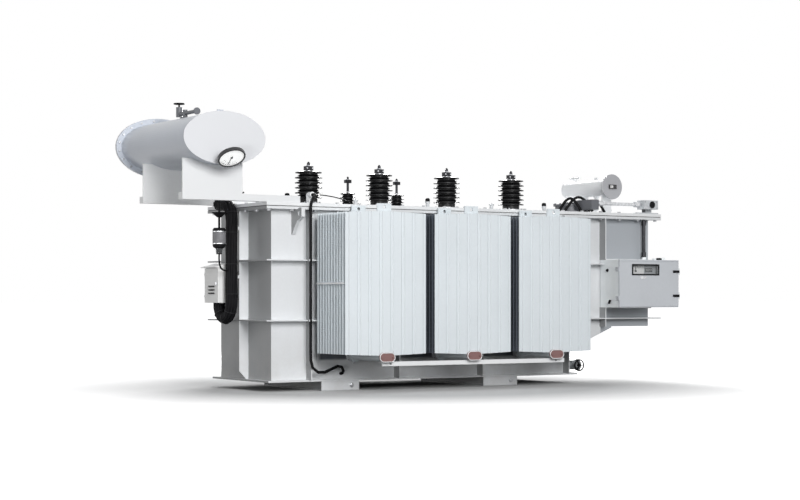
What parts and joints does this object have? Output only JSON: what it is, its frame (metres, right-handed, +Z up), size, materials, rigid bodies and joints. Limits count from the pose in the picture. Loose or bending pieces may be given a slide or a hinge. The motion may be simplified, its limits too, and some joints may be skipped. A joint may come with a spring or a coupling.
{
  "type": "oil immersed power transformer",
  "caption": "Oil immersed power transformer with panel radiators, shedded bushings, two conservators and a tap changer with motor drive.",
  "frame": {"origin": "on the floor, at the centre of the rectangle of four skid bolt holes", "axes": "+X along the tank towards the tap changer, -Y towards the three front radiators and the motor drive's door, +Z up"},
  "size_m": [5.571, 2.316, 2.6373],
  "materials": {
    "tank_paint": "satin grey white paint",
    "radiator_paint": "satin pale cool grey paint",
    "drum_paint": "satin cool grey paint",
    "white_paint": "satin white paint",
    "box_paint": "satin light grey paint",
    "cap_paint": "satin red brown paint",
    "zinc": "zinc plated",
    "shaft_steel": "plated steel",
    "cast": "grey painted casting",
    "shed_glaze": "dark glazed shed body",
    "black_rubber": "matte black sheath",
    "black_plastic": "matte black",
    "core_steel": "laminated electrical steel",
    "copper": "insulated copper",
    "pressboard": "oil soaked pressboard",
    "window_glass": "clear",
    "dial_white": "white dial"
  },
  "bodies": {
    "tank": {"tank": "tank_paint", "skids": "tank_paint", "cover": "white_paint", "cover_gasket": "black_rubber", "flange_bolts": "zinc", "lifting_lugs": "tank_paint", "core": "core_steel", "core_clamps": "core_steel", "lv_windings": "copper", "hv_windings": "pressboard", "tap_changer_vessel": "pressboard", "radiator_valves": "cast", "radiator_caps": "cap_paint", "radiator_tie_bars": "white_paint", "radiator_bottom_rail": "white_paint", "bushing_clamps": "zinc", "bushing_terminals": "shaft_steel", "conservator": "drum_paint", "conservator_cover": "drum_paint", "conservator_supports": "white_paint", "level_gauge": "black_plastic", "oil_pipes": "tank_paint", "gas_relay": "cast", "breather": "black_plastic", "breather_pipe": "black_plastic", "filler_valve": "cast", "small_conservator": "drum_paint", "small_conservator_gauge": "black_plastic", "tap_changer_head": "cast", "bevel_gearbox": "box_paint", "motor_box": "box_paint", "drive_unit": "cast", "control_cabinet": "box_paint", "cable_trunk": "black_rubber", "front_cable": "black_rubber", "cable_elbow": "white_paint", "drain_valve": "cast", "radiator_1": "radiator_paint", "radiator_2": "radiator_paint", "radiator_3": "radiator_paint", "radiator_4": "radiator_paint", "radiator_5": "radiator_paint", "radiator_6": "radiator_paint", "hv_bushing_1": "shed_glaze", "hv_bushing_2": "shed_glaze", "hv_bushing_3": "shed_glaze", "hv_bushing_4": "shed_glaze", "lv_bushing_1": "shed_glaze", "lv_bushing_2": "shed_glaze", "lv_bushing_3": "shed_glaze"},
    "level_float": {"level_float": "zinc"},
    "level_pointer": {"level_pointer": "black_plastic"},
    "filler_handwheel": {"filler_handwheel": "black_plastic"},
    "drain_handwheel": {"drain_handwheel": "black_plastic"},
    "horizontal_shaft": {"horizontal_shaft": "shaft_steel"},
    "vertical_shaft": {"vertical_shaft": "shaft_steel"},
    "position_pointer": {"position_pointer": "black_plastic"},
    "motor_box_door": {"motor_box_door": "box_paint", "door_window": "window_glass"},
    "control_cabinet_door": {"control_cabinet_door": "box_paint"}
  },
  "joints": [
    {"name": "float_swing", "type": "hinge", "parent": "tank", "child": "level_float", "pos_m": [-2.161, -0.69, 2.248], "axis": [1, 0, 0], "range_deg": [-22, 22]},
    {"name": "gauge_pointer", "type": "hinge", "parent": "tank", "child": "level_pointer", "pos_m": [-2.161, -0.854, 2.06], "axis": [0, -0.5736, -0.8192], "range_deg": [-56, 56]},
    {"name": "filler_wheel", "type": "hinge", "parent": "tank", "child": "filler_handwheel", "pos_m": [-2.175, 0.19, 2.6], "axis": [0, 0, 1], "range_deg": [0, 720]},
    {"name": "drain_wheel", "type": "hinge", "parent": "tank", "child": "drain_handwheel", "pos_m": [1.87, -0.5, 0.175], "axis": [0, -1, 0], "range_deg": [0, 720]},
    {"name": "vertical_drive", "type": "hinge", "parent": "tank", "child": "vertical_shaft", "pos_m": [2.7, -0.56, 1.5], "axis": [0, 0, 1], "continuous": true},
    {"name": "horizontal_drive", "type": "hinge", "parent": "tank", "child": "horizontal_shaft", "pos_m": [2.3, -0.56, 1.803], "axis": [1, 0, 0], "continuous": true},
    {"name": "position_turn", "type": "hinge", "parent": "tank", "child": "position_pointer", "pos_m": [2.418, -0.77, 1.121], "axis": [0, -1, 0], "continuous": true},
    {"name": "motor_door", "type": "hinge", "parent": "tank", "child": "motor_box_door", "pos_m": [2.946, -0.816, 0.993], "axis": [0, 0, 1], "range_deg": [0, 110]},
    {"name": "cabinet_door", "type": "hinge", "parent": "tank", "child": "control_cabinet_door", "pos_m": [-1.844, 0.326, 0.964], "axis": [0, 0, -1], "range_deg": [0, 110]}
  ],
  "couplings": [
    {"joint": "gauge_pointer", "follows": "float_swing", "ratio": 2.5},
    {"joint": "horizontal_drive", "follows": "vertical_drive", "ratio": -1},
    {"joint": "position_turn", "follows": "vertical_drive", "ratio": 0.0052}
  ]
}
